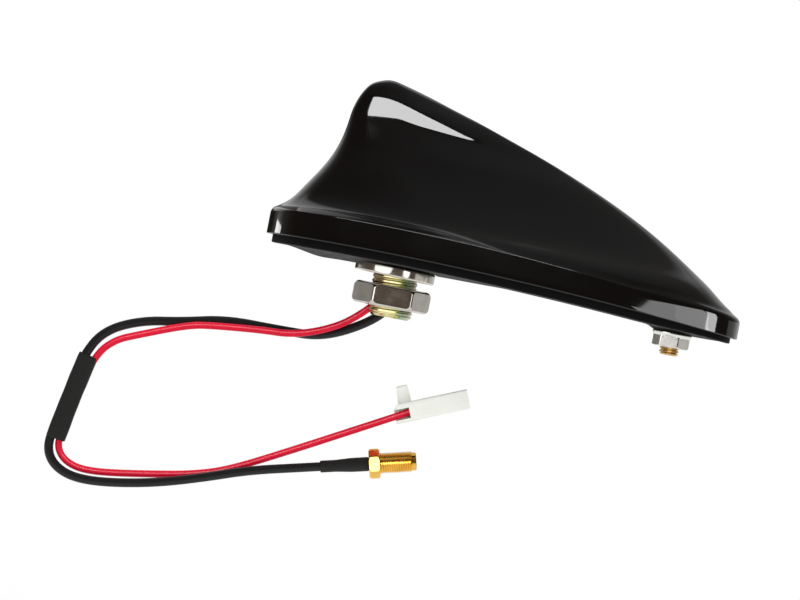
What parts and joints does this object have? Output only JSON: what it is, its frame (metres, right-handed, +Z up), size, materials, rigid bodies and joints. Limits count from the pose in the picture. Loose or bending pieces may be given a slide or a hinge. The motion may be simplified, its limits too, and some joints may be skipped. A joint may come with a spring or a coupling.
{
  "type": "shark fin aerial",
  "caption": "Gloss black fin-shaped vehicle roof aerial with a hollow mounting stud, washer and nut, and coax and power leads ending in connectors.",
  "frame": {"origin": "on the main stud's axis, in the plane where the seal ring meets the roof", "axes": "+X along the fin towards its nose, +Z up, away from the roof"},
  "size_m": [0.2031, 0.062, 0.1397],
  "materials": {
    "gloss_black": "high gloss",
    "cast_base": "die cast",
    "seal_rubber": "matt",
    "yellow_passivated": "yellow passivated zinc",
    "nickel": "bright nickel",
    "plain_brass": "bright",
    "screw_steel": "zinc",
    "board_green": "solder mask",
    "tinned_steel": "tinned",
    "cable_black": "satin",
    "wire_red": "satin",
    "shrink_black": "satin",
    "gold": "gold plate",
    "insulator_white": "waxy",
    "housing_white": "translucent nylon"
  },
  "bodies": {
    "root": {"fin_shell": "gloss_black", "base_plate": "cast_base", "roof_gasket": "seal_rubber", "main_stud": "yellow_passivated", "clamp_washer": "nickel", "stud_nut": "nickel", "front_stud": "plain_brass", "front_nut": "nickel", "shell_screws": "screw_steel", "amplifier_board": "board_green", "board_screws": "screw_steel", "shield_can": "tinned_steel", "radiator_board": "board_green", "coax_cable": "cable_black", "power_wire": "wire_red", "bundle_sleeve": "shrink_black", "connector_boot": "shrink_black", "crimp_ferrule": "gold", "jack_body": "gold", "jack_insulator": "insulator_white", "jack_contact": "gold", "terminal_housing": "housing_white", "wire_terminal": "plain_brass"}
  },
  "joints": []
}
